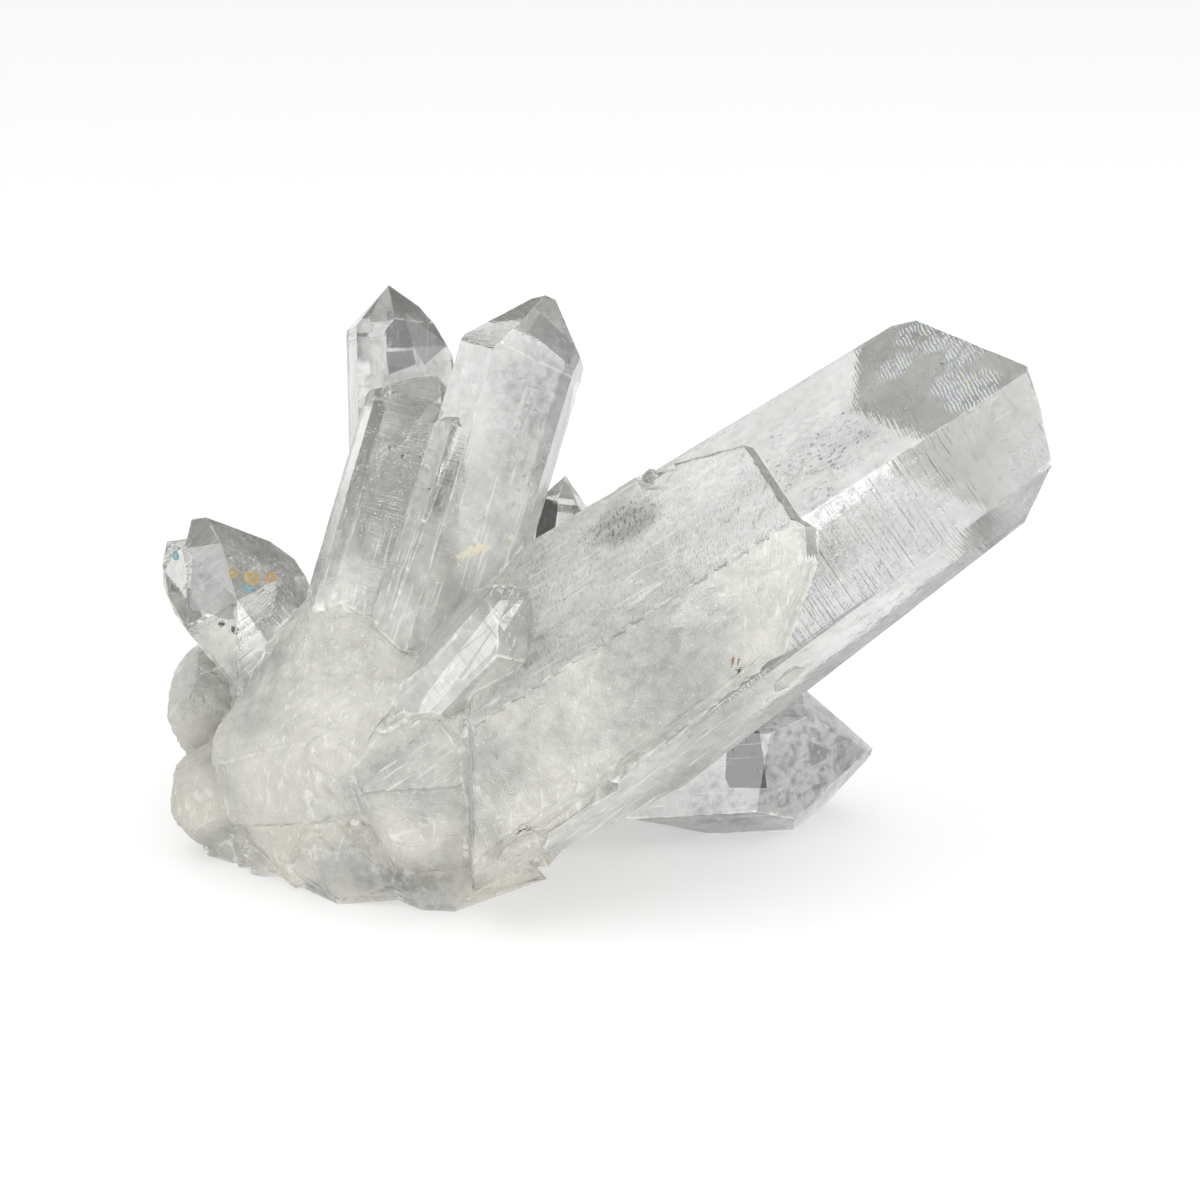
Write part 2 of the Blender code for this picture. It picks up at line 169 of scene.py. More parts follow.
# The colours of those lines: a place along the ramp and the colour there.
SPECTRUM = (
    (0.30, (0.98, 0.88, 0.36)), (0.40, (0.42, 0.86, 0.98)), (0.48, (0.98, 0.97, 0.93)),
    (0.56, (0.46, 0.54, 0.98)), (0.64, (0.98, 0.62, 0.52)), (0.74, (0.70, 0.98, 0.88)),
)

# How light the floor is, and how much it glows.
FLOOR_TONE, FLOOR_GLOW = 0.62, 0.36
# The sky's levels from the horizon up, its strength, and what is left of it behind the camera.
SKY = ((0.0, 0.42), (0.20, 0.40), (0.36, 0.20), (0.62, 0.19), (0.78, 0.45), (1.0, 0.52))
SKY_STRENGTH, SKY_BEHIND_CAMERA = 2.6, 0.55
# The lamps: name, place in metres, size and power. They all look at the middle of the cluster.
LAMPS = (
    ("key", (-0.55, -0.35, 1.05), 0.75, 3.0),
    ("fill", (0.95, -0.25, 0.70), 0.60, 2.5),
    ("front", (0.10, -1.00, 0.22), 0.60, 6.0),
)
LAMPS_LOOK_AT = (0.0, 0.0, 0.04)
CAMERA_PLACE, CAMERA_TILT, CAMERA_LENS = (0.003794, -0.391414, 0.18465), 70.0, 74.12


def unit(vector):
    vector = np.asarray(vector, float)
    return vector / np.linalg.norm(vector)


def smooth(low, high, value):
    step = np.clip((value - low) / (high - low), 0.0, 1.0)
    return step * step * (3.0 - 2.0 * step)


def fractal(points, size, octaves=3, seed=0.0):
    """Seeded noise from about -1 to 1 whose largest features are size across."""
    return np.array([
        noise.fractal(Vector((x + seed, y - seed, z + 2.0 * seed)) / size, 0.9, 2.1, octaves)
        for x, y, z in points
    ])


def place(name):
    """A crystal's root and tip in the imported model's frame."""
    root, tip = CRYSTALS[name][:2] if name else (BASE_ROOT, BASE_TIP)
    return np.subtract(root, CENTRE), np.subtract(tip, CENTRE)


def own_frame(root, tip):
    """A crystal's own directions: beside, front and along."""
    axis = unit(np.subtract(tip, root))
    front = np.array([0.0, -1.0, 0.0])
    front = unit(front - axis * (axis @ front))
    return np.array([np.cross(axis, front), front, axis])


def facets_of_node():
    """The node's mesh in millimetres, and for each facet the way it faces and its middle.

    A facet is a group of neighbouring triangles in one plane, which share a number.
    """
    mesh = bmesh.new()
    mesh.from_mesh(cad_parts[NODE].data)
    bmesh.ops.scale(mesh, vec=(1 / MM,) * 3, verts=mesh.verts)
    bmesh.ops.remove_doubles(mesh, verts=mesh.verts, dist=0.01)
    bmesh.ops.dissolve_degenerate(mesh, edges=mesh.edges, dist=0.01)
    bmesh.ops.triangulate(mesh, faces=mesh.faces[:])
    mesh.normal_update()
    layer = mesh.faces.layers.int.new("facet")
    normals, middles, done = [], [], set()
    for start in mesh.faces:
        if start in done:
            continue
        done.add(start)
        group = [start]
        for face in group:
            face[layer] = len(normals)
            for other in {f for e in face.edges for f in e.link_faces} - done:
                if other.normal.dot(start.normal) > FLAT:
                    done.add(other)
                    group.append(other)
        areas = np.array([f.calc_area() for f in group])[:, None] + 1e-9
        normals.append(unit((areas * [f.normal for f in group]).sum(0)))
        middles.append((areas * [f.calc_center_median() for f in group]).sum(0) / areas.sum())
    return mesh, layer, np.array(normals), np.array(middles)


def owner_of(point, normal):
    """The crystal whose facet this is, or None for the broken base.

    It is the nearest one for its width. A facet that lies across a crystal below its point isn't its own.
    """
    best, owner = BASE_BEYOND, None
    for name, (_, _, width, _) in CRYSTALS.items():
        root, tip = place(name)
        along = np.subtract(tip, root)
        length = np.linalg.norm(along)
        reach = np.clip((point - root) @ along / length**2, 0.0, 1.0)
        away = np.linalg.norm(point - (root + along * reach)) / width
        lean = abs(normal @ along) / length
        if lean > 0.2 and reach < 0.6:
            away += 0.6
        if away < best:
            best, owner = away, name
    return owner


def cut_painted_reflections(mesh):
    """Cuts each window's outline into the facets there and stores how dark it is, the painted dark
    reflection; below 0 the painted highlight.
    """
    layer = mesh.faces.layers.float.new("painted_reflection")
    view = Vector(TO_CAMERA)
    for outline, amount in PAINTED_REFLECTIONS:
        corners = [Vector(corner) for corner in outline]
        middle = sum(corners, Vector()) / len(corners)
        tree = BVHTree.FromBMesh(mesh)
        mesh.faces.ensure_lookup_table()
        starts = [middle.lerp(c, t) + 3.0 * view for c in corners for t in (0.0, 0.5, 0.9)]
        hits = {tree.ray_cast(start, -view, 12.0)[2] for start in starts} - {None}
        faces = [mesh.faces[k] for k in sorted(hits)]
        sides = []
        for first, second in zip(corners, corners[1:] + corners[:1]):
            out = (second - first).cross(view).normalized()
            out = -out if out.dot(middle - first) > 0.0 else out
            sides.append((first, out))
            parts = [*{v for f in faces for v in f.verts}, *{e for f in faces for e in f.edges}, *faces]
            cut = bmesh.ops.bisect_plane(mesh, geom=parts, plane_co=first, plane_no=out, dist=1e-4)
            faces = [part for part in cut["geom"] if isinstance(part, bmesh.types.BMFace)]
        for face in faces:
            if all((face.calc_center_median() - point).dot(out) < 0.0 for point, out in sides):
                face[layer] = amount


def flip_slivers(mesh, facet, painted_reflection):
    """Swaps diagonals inside the facets and the windows of painted reflection, to make their triangles more
    even.
    """
    inner = []
    for edge in mesh.edges:
        one, other = edge.link_faces
        if one[facet] == other[facet] and one[painted_reflection] == other[painted_reflection]:
            inner.append(edge)
    bmesh.ops.beautify_fill(mesh, faces=mesh.faces[:], edges=inner)


def split_evenly(points, triangles, limits):
    """Halves each edge that is longer than its triangles allow, until none is left.

    Gives the points, the triangles, and for each triangle the first one that it is a part of.
    """
    parents = np.arange(len(triangles))
    for _ in range(SPLIT_ROUNDS):
        sides = np.sort(np.stack([triangles, np.roll(triangles, -1, axis=1)], axis=2), axis=2)
        edges, edge_of = np.unique(sides.reshape(-1, 2), axis=0, return_inverse=True)
        edge_of = edge_of.reshape(-1, 3)
        limit = np.zeros(len(edges))
        np.maximum.at(limit, edge_of.ravel(), np.repeat(limits[parents], 3))
        a, b, c = (points[corner] for corner in triangles.T)
        area = np.zeros(len(edges))
        own_area = np.linalg.norm(np.cross(b - a, c - a), axis=1) / 2
        np.maximum.at(area, edge_of.ravel(), np.repeat(own_area, 3))
        cut = np.linalg.norm(points[edges[:, 0]] - points[edges[:, 1]], axis=1) > limit
        cut &= area > SMALLEST_SHARE * limit**2
        if not cut.any():
            break
        halfway = np.full(len(edges), -1)
        halfway[cut] = len(points) + np.arange(cut.sum())
        points = np.concatenate([points, points[edges[cut]].mean(axis=1)])
        middle = halfway[edge_of]
        number = (middle >= 0).sum(axis=1)
        parts, sources = [], []

        def add(rows, *corners):
            parts.append(np.stack(corners, axis=1))
            sources.append(rows)

        rows = np.flatnonzero(number == 0)
        add(rows, *triangles[rows].T)
        rows = np.flatnonzero(number == 3)
        (a, b, c), (ab, bc, ca) = triangles[rows].T, middle[rows].T
        for corners in ((a, ab, ca), (ab, b, bc), (ca, bc, c), (ab, bc, ca)):
            add(rows, *corners)
        for turn in range(3):
            turned, halves = np.roll(triangles, -turn, axis=1), np.roll(middle, -turn, axis=1)
            rows = np.flatnonzero((number == 1) & (halves[:, 0] >= 0))
            (a, b, c), ab = turned[rows].T, halves[rows, 0]
            add(rows, a, ab, c)
            add(rows, ab, b, c)
            rows = np.flatnonzero((number == 2) & (halves[:, 2] < 0))
            (a, b, c), (ab, bc, _) = turned[rows].T, halves[rows].T
            add(rows, ab, b, bc)
            one = np.linalg.norm(points[a] - points[bc], axis=1)
            other = np.linalg.norm(points[ab] - points[c], axis=1)
            add(rows, a, ab, np.where(one < other, bc, c))
            add(rows, np.where(one < other, a, ab), bc, c)
        triangles = np.concatenate(parts)
        parents = parents[np.concatenate(sources)]
    return points, triangles, parents


def soften(points, triangles, share):
    """Rounds the broken base: each point moves part of the way to the mean of its neighbours."""
    ends = np.concatenate([triangles[:, [0, 1]], triangles[:, [1, 2]], triangles[:, [2, 0]]])
    many = np.bincount(ends.ravel(), minlength=len(points))[:, None]
    for _ in range(SOFTEN_ROUNDS):
        total = np.zeros_like(points)
        np.add.at(total, ends[:, 0], points[ends[:, 1]])
        np.add.at(total, ends[:, 1], points[ends[:, 0]])
        points = points + 0.6 * share[:, None] * (total / many - points)
    return points


def add_attribute(data, name, kind, domain, values):
    made = data.attributes.new(name, kind, domain)
    made.data.foreach_set("vector" if kind == "FLOAT_VECTOR" else "value", values.ravel())


def make_skin():
    """The skin with its relief and the attributes that its material reads, and a tree of the facets."""
    mesh, facet, normals, middles = facets_of_node()
    owners = [owner_of(middle, normal) for middle, normal in zip(middles, normals)]
    tree = BVHTree.FromBMesh(mesh)
    on_etched = (normals @ unit(ETCHED_NORMAL) > 0.999) & (
        np.abs((middles - ETCHED_POINT) @ unit(ETCHED_NORMAL)) < 0.3
    )
    cut_painted_reflections(mesh)
    bmesh.ops.triangulate(mesh, faces=mesh.faces[:])
    painted_reflection = mesh.faces.layers.float["painted_reflection"]
    flip_slivers(mesh, facet, painted_reflection)
    mesh.verts.index_update()
    points = np.array([v.co for v in mesh.verts])
    triangles = np.array([[v.index for v in f.verts] for f in mesh.faces])
    ids = np.array([f[facet] for f in mesh.faces])
    painted_reflection_per_face = np.array([f[painted_reflection] for f in mesh.faces])
    mesh.free()

    limits = np.array([BASE_EDGE if owner is None else LONGEST_EDGE for owner in owners])
    limits[on_etched] = ETCHED_EDGE
    points, triangles, parents = split_evenly(points, triangles, limits[ids])
    ids, painted_reflection_per_face = ids[parents], painted_reflection_per_face[parents]
    data = bpy.data.meshes.new("crystal_skin")
    data.from_pydata(points.tolist(), [], triangles.tolist())
    count = len(points)
    corners = triangles.ravel()
    of_corner = np.repeat(ids, 3)

    pairs = np.unique(np.stack([corners, of_corner], 1), axis=0)
    summed = np.zeros((count, 3))
    np.add.at(summed, pairs[:, 0], normals[pairs[:, 1]])
    shared = np.bincount(pairs[:, 0], minlength=count)
    length = np.linalg.norm(summed, axis=1)
    out = summed / np.maximum(length, 1e-6)[:, None]
    bend = 1.0 - length / shared
    crease = smooth(0.004, 0.05, bend)

    names = list(CRYSTALS)
    number = np.array([names.index(o) if o else -1 for o in owners])
    of_point = np.full(count, -1)
    of_point[corners] = number[of_corner]
    on_base = (of_point < 0).astype(float)
    etched = np.zeros(count)
    etched[corners[on_etched[of_corner]]] = 1.0
    under = points[:, 2] < 0.05

    melt = on_base.copy()
    for k, name in enumerate(names):
        root, tip = place(name)
        along = tip - root
        reach = (points - root) @ along / (along @ along)
        melt = np.where(of_point == k, 0.9 * (1.0 - smooth(0.0, 0.16, reach)), melt)
    points = soften(points, corners.reshape(-1, 3), melt * (points[:, 2] > 0.6))
    depth = on_base * (0.30 + 0.42 * np.abs(fractal(points, 3.4, 3, 5.0)))
    depth += on_base * 0.12 * (1.0 + fractal(points, 1.4, 2, 9.0))
    depth += (1.0 - on_base) * 0.05 * (1.0 + fractal(points, 6.0, 3, 2.0))
    depth += etched * 0.20 * (1.0 + fractal(points * (1.0, 1.0, 1.4), 2.6, 2, 3.0))
    depth += on_base * crease * 0.12 * (1.0 + fractal(points, 2.6, 3, 7.0))
    depth[under] = 0.0
    moved = points - out * np.maximum(depth, 0.0)[:, None]
    moved[under, 2] = 0.0
    data.vertices.foreach_set("co", (moved * MM).ravel())

    grain = np.empty((len(corners), 3))
    at_corner = points[corners]
    reach = np.zeros(len(corners))
    fade = np.ones(len(corners))
    for k, name in enumerate([*names, None]):
        root, tip = place(name)
        milk_to = CRYSTALS[name][3] if name else 9.0
        mine = number[of_corner] == (k if name else -1)
        local = (at_corner[mine] - root) @ own_frame(root, tip).T
        grain[mine] = local + 37.0 * k
        reach[mine] = local[:, 2] / np.linalg.norm(np.subtract(tip, root))
        fade[mine] = milk_to
    cloud = fractal(at_corner, 16.0, 3, 1.0)
    milk = 1.0 - smooth(fade - 0.22, fade + 0.22, reach + 0.18 * cloud)
    milk = np.where(number[of_corner] < 0, 0.92, milk * 0.9)
    low = 1.0 - smooth(2.0, 30.0, at_corner[:, 2] + 6.0 * cloud)
    warm = np.where(number[of_corner] < 0, 0.25 + 0.75 * low, 0.0)
    shade = np.zeros(len(corners))
    # Painted shade, with some of the stone's own dark clouds.
    for centre, radii, amount in DARK_CLOUDS_AND_PAINTED_SHADE:
        far = np.linalg.norm((at_corner - centre) / radii, axis=1) + 0.35 * cloud
        shade = np.maximum(shade, amount * (1.0 - smooth(0.4, 1.25, far)))
    stained, tint = np.zeros(len(corners)), np.zeros((len(corners), 3))
    for centre, radii, colour in STAINS:
        near = 1.0 - smooth(0.3, 1.3, np.linalg.norm((at_corner - centre) / radii, axis=1))
        tint[near > stained] = colour
        stained = np.maximum(stained, near)
    painted_rainbow = np.zeros(len(corners))
    # Where the painted iridescence lies.
    for centre, radius in PAINTED_RAINBOWS:
        far = np.linalg.norm(at_corner - centre, axis=1) / radius
        painted_rainbow = np.maximum(painted_rainbow, (1.0 - smooth(0.7, 1.1, far)) * (normals[of_corner, 2] > 0.6))

    add_attribute(data, "grain", "FLOAT_VECTOR", "CORNER", grain)
    add_attribute(data, "milk", "FLOAT", "CORNER", milk)
    add_attribute(data, "warm", "FLOAT", "CORNER", warm)
    add_attribute(data, "etch", "FLOAT", "CORNER", on_etched[of_corner].astype(float))
    add_attribute(data, "cloud_and_painted_shade", "FLOAT", "CORNER", shade)
    add_attribute(data, "broken", "FLOAT", "CORNER", (number[of_corner] < 0).astype(float))
    add_attribute(data, "cloud", "FLOAT", "CORNER", cloud)
    add_attribute(data, "stain", "FLOAT_VECTOR", "CORNER", tint)
    add_attribute(data, "stained", "FLOAT", "CORNER", stained)
    add_attribute(data, "painted_rainbow", "FLOAT", "CORNER", painted_rainbow)
    add_attribute(data, "edge", "FLOAT", "POINT", crease)
    add_attribute(data, "painted_reflection", "FLOAT", "FACE", painted_reflection_per_face)
    data.shade_smooth()
    data.set_sharp_from_angle(angle=math.radians(CREASE_DEGREES))
    skin = bpy.data.objects.new("crystal_skin", data)
    bpy.context.scene.collection.objects.link(skin)
    return skin, tree


class Nodes:
    """Short ways to add the nodes of one material."""

    def __init__(self, material):
        material.use_nodes = True
        self.tree = material.node_tree
        self.shader = self.tree.nodes["Principled BSDF"]

    def add(self, kind, values=(), **settings):
        node = self.tree.nodes.new(kind)
        for key, value in settings.items():
            setattr(node, key, value)
        for key, value in dict(values).items():
            self.put(value, node.inputs[key])
        return node

    def put(self, value, socket):
        if isinstance(value, bpy.types.NodeSocket):
            self.tree.links.new(value, socket)
        else:
            socket.default_value = value

    def math(self, operation, *values, clamp=False):
        node = self.add("ShaderNodeMath", enumerate(values), operation=operation, use_clamp=clamp)
        return node.outputs[0]

    def ramp(self, value, low, high, to_low=0.0, to_high=1.0):
        node = self.add(
            "ShaderNodeMapRange",
            {"Value": value, "From Min": low, "From Max": high, "To Min": to_low, "To Max": to_high},
            interpolation_type="SMOOTHSTEP",
        )
        return node.outputs["Result"]

    def attribute(self, name, output="Fac"):
        return self.add("ShaderNodeAttribute", attribute_name=name).outputs[output]

    def stretched(self, vector, by):
        node = self.add("ShaderNodeVectorMath", {0: vector, 1: by}, operation="MULTIPLY")
        return node.outputs[0]

    def noise(self, vector, scale, detail=3.0, distortion=0.0):
        node = self.add(
            "ShaderNodeTexNoise",
            {"Vector": vector, "Scale": scale, "Detail": detail, "Distortion": distortion, "Roughness": 0.55},
        )
        return node.outputs["Fac"]

    def mix(self, factor, first, second):
        node = self.add("ShaderNodeMix", data_type="RGBA")
        self.put(factor, node.inputs[0])
        self.put(first, node.inputs[6])
        self.put(second, node.inputs[7])
        return node.outputs[2]


def quartz_material():
    material = bpy.data.materials.new("quartz")
    n = Nodes(material)
    grain = n.attribute("grain", "Vector")
    milk, warm, etch = n.attribute("milk"), n.attribute("warm"), n.attribute("etch")
    cloud_and_painted_shade, broken, edge = n.attribute("cloud_and_painted_shade"), n.attribute("broken"), n.attribute("edge")
    cloud, painted_reflection, painted_rainbow = n.attribute("cloud"), n.attribute("painted_reflection"), n.attribute("painted_rainbow")

    mottle = n.noise(grain, 0.60, 3.0)
    broad = n.noise(grain, 0.16, 2.0)
    fine = n.noise(grain, 3.4, 1.0)
    dash = n.noise(n.stretched(grain, (0.55, 0.55, 2.0)), 1.3, 2.0)
    lines = n.noise(n.stretched(grain, (0.10, 0.10, 2.4)), 1.0, 1.0)
    streak = n.noise(n.stretched(grain, (1.5, 1.5, 0.09)), 1.0, 1.0)
    # Healed cracks and hairs: thin lines where a noise crosses its middle.
    crack = n.math("ABSOLUTE", n.math("SUBTRACT", n.noise(grain, 0.26, 2.0, 1.4), 0.5))
    crack = n.math("MULTIPLY", n.ramp(crack, 0.006, 0.0), n.ramp(broad, 0.45, 0.60))
    hair = n.math("ABSOLUTE", n.math("SUBTRACT", n.noise(grain, 0.80, 1.0, 2.2), 0.5))
    hair = n.math("MULTIPLY", n.ramp(hair, 0.014, 0.0), n.ramp(mottle, 0.46, 0.60))
    # Old breaks inside: flat patches with straight borders, each a little lighter or darker.
    patch = n.add("ShaderNodeTexVoronoi", {"Vector": n.stretched(grain, (0.17, 0.17, 0.10)), "Scale": 1.0})
    tone = n.ramp(patch.outputs["Color"], 0.15, 0.85)
    wisp = n.noise(n.stretched(grain, (1.3, 0.9, 0.35)), 0.9, 3.0)
    wisps = n.math("MULTIPLY", n.ramp(wisp, 0.57, 0.68), n.ramp(cloud, -0.1, 0.35))
    # White along the crests: partly bruised wear, partly a painted highlight where light catches the edges.
    edge_wear_and_highlight = n.math("MULTIPLY", n.math("POWER", edge, 4.0), n.ramp(mottle, 0.32, 0.55))
    edge_wear_and_highlight = n.math("MULTIPLY", edge_wear_and_highlight, n.math("SUBTRACT", 1.0, n.math("MULTIPLY", broken, 0.65)))
    speck = n.add("ShaderNodeTexVoronoi", {"Vector": grain, "Scale": 0.9}).outputs["Distance"]
    speck = n.math("MULTIPLY", n.ramp(speck, 0.17, 0.08), n.ramp(fine, 0.42, 0.56))

    whole = n.math("SUBTRACT", 1.0, broken)
    # The white in the colour: cracks, wisps, specks and hairs of the stone, with the painted highlights on
    # the crests and pale windows.
    white = n.math("ADD", n.math("MULTIPLY", crack, 0.45), n.math("MULTIPLY", wisps, 0.40))
    for part, amount in ((speck, 0.40), (edge_wear_and_highlight, 0.95), (hair, 0.30)):
        white = n.math("ADD", white, n.math("MULTIPLY", part, amount))
    streaks = n.math("MULTIPLY", n.ramp(streak, 0.60, 0.72), whole)
    white = n.math("ADD", white, n.math("MULTIPLY", streaks, 0.35))
    # Painted highlight: the pale windows, below 0, are whitened in fine lines.
    painted_highlight = n.math("MULTIPLY", n.ramp(painted_reflection, 0.0, -1.0), n.ramp(lines, 0.34, 0.48, 0.45, 1.0))
    white = n.math("ADD", white, painted_highlight, clamp=True)

    body = n.mix(milk, CLEAR, MILKY)
    dull = n.math("ADD", n.ramp(mottle, 0.62, 0.36, 0.0, 0.11), n.math("MULTIPLY", tone, 0.10))
    dull = n.math("ADD", dull, n.ramp(broad, 0.60, 0.38, 0.0, 0.10))
    shaded = n.mix(dull, body, DARK)
    shaded = n.mix(n.math("MULTIPLY", warm, n.ramp(cloud, -0.5, 0.3)), shaded, WARM)
    pit = n.math("MULTIPLY", n.ramp(fine, 0.42, 0.30), 0.12)
    dashes = n.math("MULTIPLY", n.ramp(dash, 0.46, 0.36), n.math("ADD", n.math("MULTIPLY", cloud_and_painted_shade, 0.9), 0.22))
    pit = n.math("ADD", pit, n.math("MULTIPLY", dashes, etch))
    shaded = n.mix(pit, shaded, DARK)
    # Painted shade and dark reflections: the dark clouds, partly the stone's own, and the dark windows darken
    # the colour and make the stone less clear.
    darkening_and_painted_shade = n.math("MAXIMUM", n.math("MULTIPLY", cloud_and_painted_shade, n.ramp(mottle, 0.30, 0.60, 1.0, 0.72)), painted_reflection)
    darkening_and_painted_shade = n.math("MULTIPLY", darkening_and_painted_shade, n.ramp(white, 0.0, 1.0, 1.0, 0.5))
    shaded = n.mix(darkening_and_painted_shade, n.mix(white, shaded, WHITE), DARK)

    wave = n.add(
        "ShaderNodeTexWave",
        {"Vector": grain, "Scale": 0.55, "Distortion": 5.0, "Detail": 2.0, "Detail Scale": 0.8},
        bands_direction="Z",
    )
    # Painted iridescence: fine coloured lines of light in the patches near the long crystal's tip.
    painted_shimmer = n.math("MULTIPLY", n.ramp(wave.outputs["Fac"], 0.55, 0.85), painted_rainbow)
    painted_shimmer = n.math("MULTIPLY", painted_shimmer, n.ramp(mottle, 0.36, 0.48))
    hues = n.add("ShaderNodeValToRGB", {"Fac": n.noise(grain, 1.1, 1.0)})
    hues.color_ramp.elements.remove(hues.color_ramp.elements[0])
    for k, (position, colour) in enumerate(SPECTRUM):
        stop = hues.color_ramp.elements[0] if k == 0 else hues.color_ramp.elements.new(position)
        stop.position, stop.color = position, (*colour, 1.0)
    shaded = n.mix(n.math("MULTIPLY", painted_shimmer, 0.9), shaded, hues.outputs["Color"])
    mark = n.math("ADD", n.attribute("stained"), n.ramp(fine, 0.3, 0.7, -0.25, 0.25))
    mark = n.math("MULTIPLY", n.ramp(mark, 0.40, 0.60), n.ramp(wisp, 0.40, 0.50))
    n.put(n.mix(mark, shaded, n.attribute("stain", "Vector")), n.shader.inputs["Base Color"])

    cloudy = n.math("MULTIPLY", milk, n.ramp(cloud, -0.6, 0.4, 0.55, 1.0))
    for part, amount in ((white, 0.55), (etch, 0.25), (darkening_and_painted_shade, 0.50), (painted_shimmer, 0.85), (mark, 0.90)):
        cloudy = n.math("ADD", cloudy, n.math("MULTIPLY", part, amount))
    clear = n.math("MULTIPLY", n.ramp(cloudy, 0.0, 1.0, 0.96, 0.30), n.ramp(darkening_and_painted_shade, 0.0, 1.0, 1.0, 0.12))
    n.put(clear, n.shader.inputs["Transmission Weight"])

    rough = n.math("ADD", n.ramp(fine, 0.35, 0.7, 0.02, 0.07), n.math("MULTIPLY", broken, 0.14))
    rough = n.math("ADD", rough, n.math("MULTIPLY", etch, 0.08))
    n.put(rough, n.shader.inputs["Roughness"])

    height = n.math("MULTIPLY", lines, whole)
    height = n.math("ADD", n.math("MULTIPLY", height, 0.35), n.math("MULTIPLY", mottle, 0.40))
    grit = n.math("ADD", n.math("MULTIPLY", broken, 0.9), 0.06)
    height = n.math("ADD", height, n.math("MULTIPLY", fine, grit))
    height = n.math("ADD", height, n.math("MULTIPLY", n.math("MULTIPLY", dash, etch), 1.3))
    bump = n.add("ShaderNodeBump", {"Strength": 0.6, "Distance": 0.0003, "Height": height})
    n.put(bump.outputs[0], n.shader.inputs["Normal"])

    n.shader.inputs["IOR"].default_value = IOR
    return material


def flake_material():
    """What lies inside the stone, and the flakes of the painted glints: each flake has its own tint, a little
    uneven.
    """
    material = bpy.data.materials.new("flakes")
    n = Nodes(material)
    tint = n.attribute("tint", "Color")
    place_in = n.add("ShaderNodeTexCoord").outputs["Object"]
    uneven = n.noise(place_in, 2500.0, 2.0)
    n.put(n.mix(n.ramp(uneven, 0.35, 0.65), n.mix(0.35, tint, DARK), tint), n.shader.inputs["Base Color"])
    n.put(n.ramp(uneven, 0.3, 0.7, 0.15, 0.45), n.shader.inputs["Roughness"])
    return material


class Flakes:
    """Thin closed lozenges, gathered into one mesh, each with a tint."""

    def __init__(self, skin_tree):
        self.tree = skin_tree
        self.points, self.faces, self.tints = [], [], []

    def inside(self, point, margin):
        near, normal, _, far = self.tree.find_nearest(Vector(point))
        return far > margin and (Vector(point) - near).dot(normal) < 0.0

    def lay(self, centre, normal, along, length, width, tint, sides=4, thick=0.07):
        if not self.inside(centre, 0.12 + FLAKE_MARGIN * length):
            return
        normal = unit(normal)
        along = unit(along - normal * (np.asarray(along) @ normal))
        beside = np.cross(normal, along)
        first = len(self.points)
        for k in range(sides):
            turn = math.tau * k / sides
            offset = along * length * math.cos(turn) + beside * width * math.sin(turn)
            self.points.append(centre + 0.5 * offset)
            after, top = first + (k + 1) % sides, first + sides
            self.faces += [[first + k, after, top], [after, first + k, top + 1]]
        self.points += [centre + 0.5 * thick * normal, centre - 0.5 * thick * normal]
        self.tints += [(*tint, 1.0)] * (sides + 2)

    def object(self, name):
        data = bpy.data.meshes.new(name)
        data.from_pydata((np.array(self.points) * MM).tolist(), [], self.faces)
        colours = data.attributes.new("tint", "FLOAT_COLOR", "POINT")
        colours.data.foreach_set("color", np.array(self.tints).ravel())
        made = bpy.data.objects.new(name, data)
        bpy.context.scene.collection.objects.link(made)
        return made


def veils(flakes):
    """Healed cracks: wavy sheets of pale flakes across the crystals, with a few dark ones."""
    random = np.random.default_rng(7)
    for name, (_, _, width, _) in CRYSTALS.items():
        root, tip = place(name)
        axes = own_frame(root, tip)
        for _ in range(SHEETS[name]):
            centre = root + (tip - root) * random.uniform(0.35, 1.0)
            centre = centre + random.normal(0.0, 0.30, 3) @ axes * width
            normal = unit(random.normal(0.0, 1.0, 3) * (1.0, 1.0, 0.6)) @ axes
            first = unit(np.cross(normal, (0.3, 0.5, 0.8)))
            second = np.cross(normal, first)
            radius = width * random.uniform(0.25, 0.65)
            wave = random.uniform(0.5, 1.5, 2)
            for _ in range(int(16 * radius)):
                u, v = random.normal(0.0, 0.45, 2) * radius
                lift = 0.12 * radius * math.sin(wave[0] * u) * math.cos(wave[1] * v)
                spot = centre + u * first + v * second + lift * normal
                long = random.uniform(0.2, 1.1)
                grey = random.uniform(0.75, 0.97) if random.random() < 0.82 else random.uniform(0.1, 0.3)
                facing = unit(normal + random.normal(0.0, 0.5, 3))
                flakes.lay(spot, facing, random.normal(0.0, 1.0, 3), long, long * 0.35, (grey,) * 3)


def glints(flakes):
    """Painted glints: round spots of coloured light on flakes just under a face, with a painted highlight in
    the middle.
    """
    for spot, normal, tint, size in PAINTED_GLINTS:
        for share, depth, painted_highlight in ((1.0, 0.64, 0.0), (0.40, 0.50, 0.45)):
            centre = np.subtract(spot, unit(normal) * depth)
            colour = [part + (1.0 - part) * painted_highlight for part in tint]
            flakes.lay(centre, normal, (0.6, 0.0, 0.8), size * share, size * share, colour, sides=10)


def make_floor():
    mesh = bmesh.new()
    bmesh.ops.create_circle(mesh, cap_ends=True, segments=96, radius=9.0)
    data = bpy.data.meshes.new("floor")
    mesh.to_mesh(data)
    mesh.free()
    floor = bpy.data.objects.new("floor", data)
    bpy.context.scene.collection.objects.link(floor)
    material = bpy.data.materials.new("floor")
    n = Nodes(material)
    n.shader.inputs["Base Color"].default_value = (FLOOR_TONE, FLOOR_TONE, FLOOR_TONE, 1.0)
    n.shader.inputs["Roughness"].default_value = 0.7
    n.shader.inputs["Emission Color"].default_value = (1.0, 1.0, 1.0, 1.0)
    n.shader.inputs["Emission Strength"].default_value = FLOOR_GLOW
    data.materials.append(material)


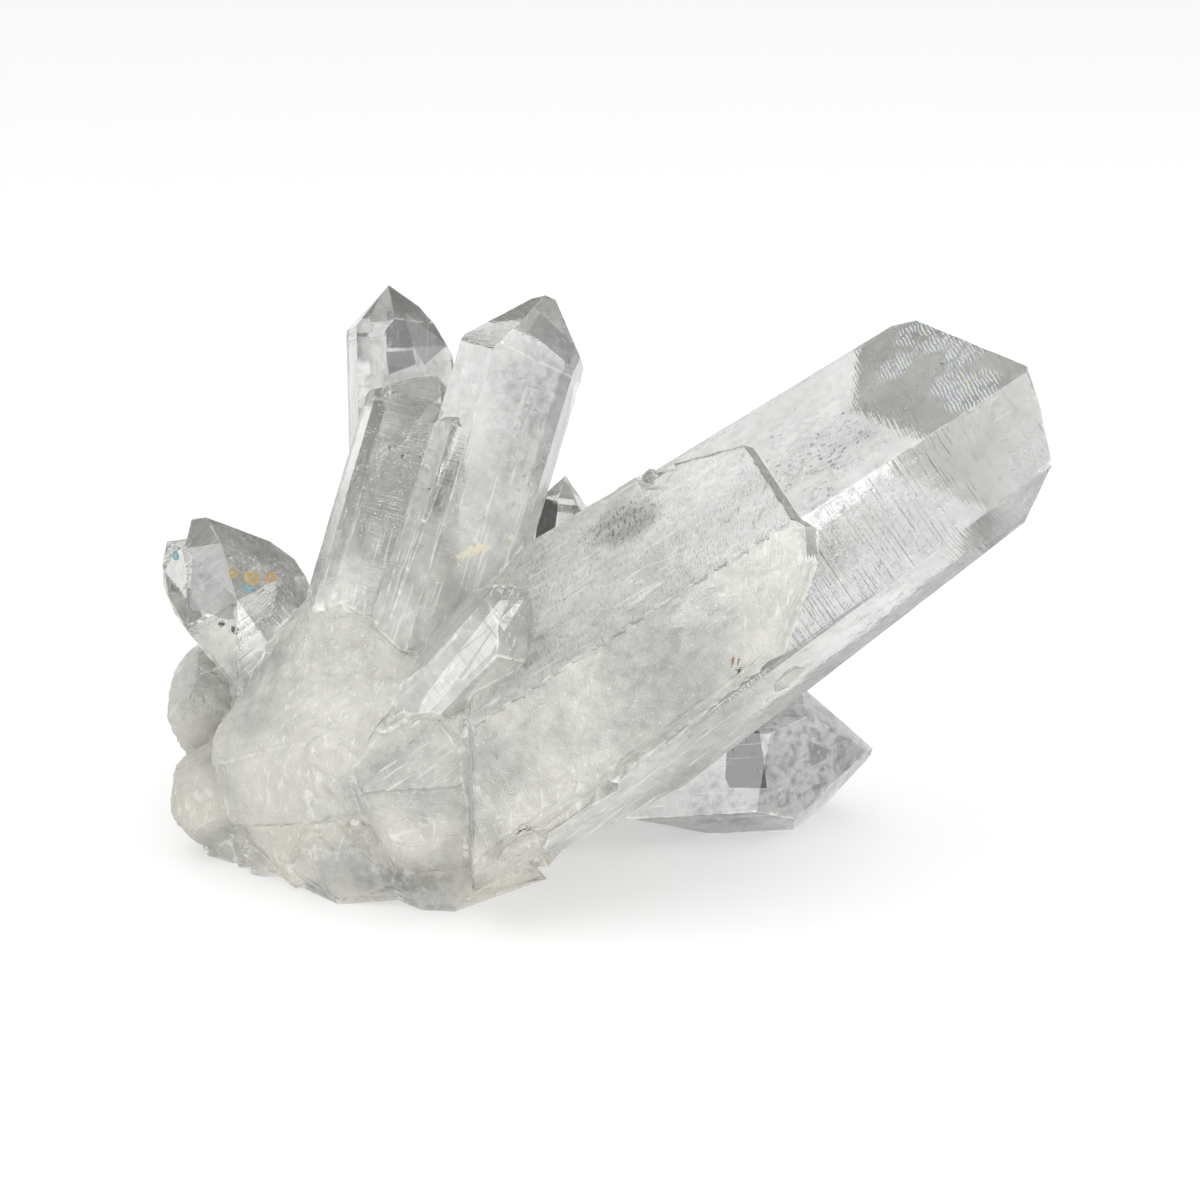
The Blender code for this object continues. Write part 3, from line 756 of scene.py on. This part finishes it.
def make_light():
    scene = bpy.context.scene
    scene.view_settings.view_transform = "Standard"
    world = bpy.data.worlds.new("studio")
    scene.world = world
    world.use_nodes = True
    tree = world.node_tree
    back = tree.nodes["Background"]
    direction = tree.nodes.new("ShaderNodeTexCoord").outputs["Generated"]
    split = tree.nodes.new("ShaderNodeSeparateXYZ")
    tree.links.new(direction, split.inputs[0])
    up = tree.nodes.new("ShaderNodeValToRGB")
    tree.links.new(split.outputs["Z"], up.inputs[0])
    stops = up.color_ramp.elements
    for end, (position, level) in zip((stops[0], stops[1]), (SKY[0], SKY[-1])):
        end.position, end.color = position, (level, level, level, 1.0)
    for position, level in SKY[1:-1]:
        stops.new(position).color = (level, level, level, 1.0)
    toward = tree.nodes.new("ShaderNodeMapRange")
    toward.inputs["From Min"].default_value = -0.2
    toward.inputs["From Max"].default_value = -0.75
    toward.inputs["To Min"].default_value = 1.0
    toward.inputs["To Max"].default_value = SKY_BEHIND_CAMERA
    tree.links.new(split.outputs["Y"], toward.inputs["Value"])
    product = tree.nodes.new("ShaderNodeMath")
    product.operation = "MULTIPLY"
    tree.links.new(up.outputs["Color"], product.inputs[0])
    tree.links.new(toward.outputs["Result"], product.inputs[1])
    tree.links.new(product.outputs[0], back.inputs["Color"])
    back.inputs["Strength"].default_value = SKY_STRENGTH

    for name, position, size, power in LAMPS:
        light = bpy.data.lights.new(name, "AREA")
        light.size = size
        light.energy = power
        lamp = bpy.data.objects.new(name, light)
        scene.collection.objects.link(lamp)
        lamp.location = position
        aim = Vector(LAMPS_LOOK_AT) - lamp.location
        lamp.rotation_euler = aim.to_track_quat("-Z", "Y").to_euler()


def make_camera():
    data = bpy.data.cameras.new("camera")
    data.lens = CAMERA_LENS
    data.clip_start, data.clip_end = 0.01, 30.0
    camera = bpy.data.objects.new("camera", data)
    bpy.context.scene.collection.objects.link(camera)
    camera.location = CAMERA_PLACE
    camera.rotation_euler = (math.radians(CAMERA_TILT), 0.0, 0.0)
    bpy.context.scene.camera = camera


def main():
    make_camera()
    make_light()
    make_floor()
    skin, tree = make_skin()
    skin.data.materials.append(quartz_material())
    flakes = Flakes(tree)
    veils(flakes)
    glints(flakes)
    inner = flakes.object("inner_flakes_and_painted_glints")
    inner.data.materials.append(flake_material())
    for piece in (skin, inner):
        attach(piece, "root")
    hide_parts(NODE)


main()
